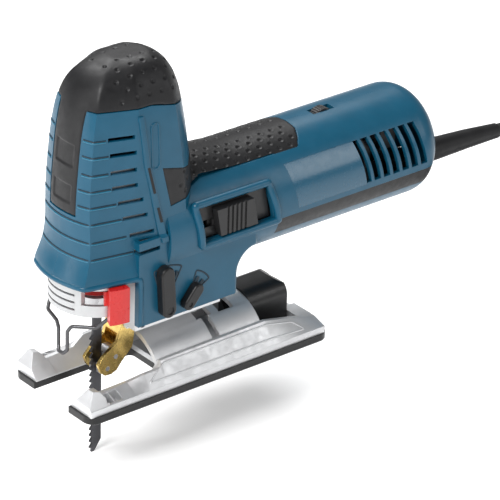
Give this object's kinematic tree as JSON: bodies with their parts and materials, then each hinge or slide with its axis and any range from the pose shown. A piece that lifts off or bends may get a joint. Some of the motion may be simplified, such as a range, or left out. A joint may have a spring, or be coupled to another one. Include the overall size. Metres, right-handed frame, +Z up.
{
  "type": "jigsaw",
  "caption": "Corded barrel-grip jigsaw with orbital roller fork, tilting footplate, dust port and coiled cord.",
  "frame": {"origin": "middle of the sole of the footplate, on the work surface", "axes": "+X to the rear along the barrel, +Z up along the blade's stroke, -Y the side with the switch and levers"},
  "size_m": [0.4608, 0.119, 0.25],
  "materials": {
    "blue_plastic": "fine spark-eroded grain",
    "black_rubber": "matt, moulded",
    "black_plastic": "satin",
    "red_plastic": "satin gloss",
    "die_cast": "satin, as cast and tumbled",
    "machined_steel": "ground",
    "bright_steel": "bright plated",
    "gold_zinc": "yellow passivated zinc",
    "blade_steel": "bright, ground teeth",
    "lamination": "stacked laminations",
    "copper": "enamelled copper",
    "carbon": "carbon",
    "label_plastic": "smooth, bare",
    "cord_rubber": "matt",
    "brass_pin": "nickel plated"
  },
  "bodies": {
    "housing": {"housing_left": "blue_plastic", "housing_right": "blue_plastic", "side_strip_left": "black_rubber", "side_strip_right": "black_rubber", "label_plate_left": "label_plastic", "label_plate_right": "label_plastic", "knob_grip": "black_rubber", "barrel_grip": "black_rubber", "housing_screws": "machined_steel", "gear_case": "die_cast", "bulkhead": "die_cast", "guide_bushes": "machined_steel", "front_guard": "bright_steel", "wire_guard": "bright_steel", "gear_pin": "machined_steel", "front_bearing": "machined_steel", "rear_bearing": "machined_steel", "rear_bearing_cap": "black_plastic", "stator_core": "lamination", "field_coils": "copper", "brush_holders": "black_plastic", "carbon_brushes": "carbon", "fork_pivot_pin": "machined_steel", "switch_panel": "black_plastic", "switch_module": "black_plastic", "dial_module": "black_plastic", "electronics_module": "black_plastic", "clamp_bar": "machined_steel", "clamp_bolt": "machined_steel", "cord_sleeve": "black_rubber", "cord_clamp": "black_plastic", "cord_tube": "cord_rubber", "cord_coil": "cord_rubber", "cord_tie": "black_plastic", "plug_body": "black_rubber", "plug_pins": "brass_pin"},
    "armature": {"armature_shaft": "machined_steel", "armature_core": "lamination", "commutator": "copper", "cooling_fan": "black_plastic"},
    "gear": {"drive_gear": "machined_steel", "counterweight": "die_cast", "crank_pin": "machined_steel"},
    "plunger": {"plunger": "machined_steel", "yoke": "machined_steel", "blade_clamp": "machined_steel", "saw_blade": "blade_steel"},
    "release_lever": {"release_lever": "red_plastic"},
    "fork": {"roller_fork": "gold_zinc", "roller_pin": "machined_steel", "guide_jaws": "machined_steel"},
    "roller": {"guide_roller": "machined_steel"},
    "orbit_lever": {"orbit_lever": "black_plastic"},
    "blower_lever": {"blower_lever": "black_plastic"},
    "switch_slider": {"switch_slider": "black_plastic", "switch_rod": "black_plastic"},
    "speed_dial": {"speed_dial": "black_plastic"},
    "base": {"base_plate": "die_cast", "glide_shoe": "black_plastic", "dust_port": "black_plastic"}
  },
  "joints": [
    {"name": "armature_spin", "type": "hinge", "parent": "housing", "child": "armature", "pos_m": [0, 0, 0.0972], "axis": [1, 0, 0], "continuous": true},
    {"name": "gear_spin", "type": "hinge", "parent": "housing", "child": "gear", "pos_m": [-0.036, 0, 0.12342], "axis": [1, 0, 0], "continuous": true},
    {"name": "blade_stroke", "type": "slide", "parent": "housing", "child": "plunger", "axis": [0, 0, 1], "range_m": [0, 0.026]},
    {"name": "blade_release", "type": "hinge", "parent": "housing", "child": "release_lever", "pos_m": [-0.0574, 0, 0.0685], "axis": [0, 0, -1], "range_deg": [0, 20]},
    {"name": "orbit_swing", "type": "hinge", "parent": "housing", "child": "fork", "pos_m": [-0.0385, 0, 0.043], "axis": [0, -1, 0], "range_deg": [0, 3]},
    {"name": "roller_spin", "type": "hinge", "parent": "fork", "child": "roller", "pos_m": [-0.0482, 0, 0.0195], "axis": [0, 1, 0], "continuous": true},
    {"name": "orbit_select", "type": "hinge", "parent": "housing", "child": "orbit_lever", "pos_m": [-0.0325, -0.035, 0.0575], "axis": [0, 1, 0], "range_deg": [0, 45]},
    {"name": "blower_select", "type": "hinge", "parent": "housing", "child": "blower_lever", "pos_m": [-0.0175, -0.035, 0.0565], "axis": [0, 1, 0], "range_deg": [0, 35]},
    {"name": "power_switch", "type": "slide", "parent": "housing", "child": "switch_slider", "axis": [-1, 0, 0], "range_m": [0, 0.006]},
    {"name": "speed_select", "type": "hinge", "parent": "housing", "child": "speed_dial", "pos_m": [0.107, 0, 0.12475], "axis": [0, 1, 0], "range_deg": [0, 270]},
    {"name": "base_tilt", "type": "hinge", "parent": "housing", "child": "base", "pos_m": [0, 0, 0], "axis": [1, 0, 0], "range_deg": [-45, 45]}
  ],
  "couplings": [
    {"joint": "gear_spin", "follows": "armature_spin", "ratio": -0.20833}
  ]
}
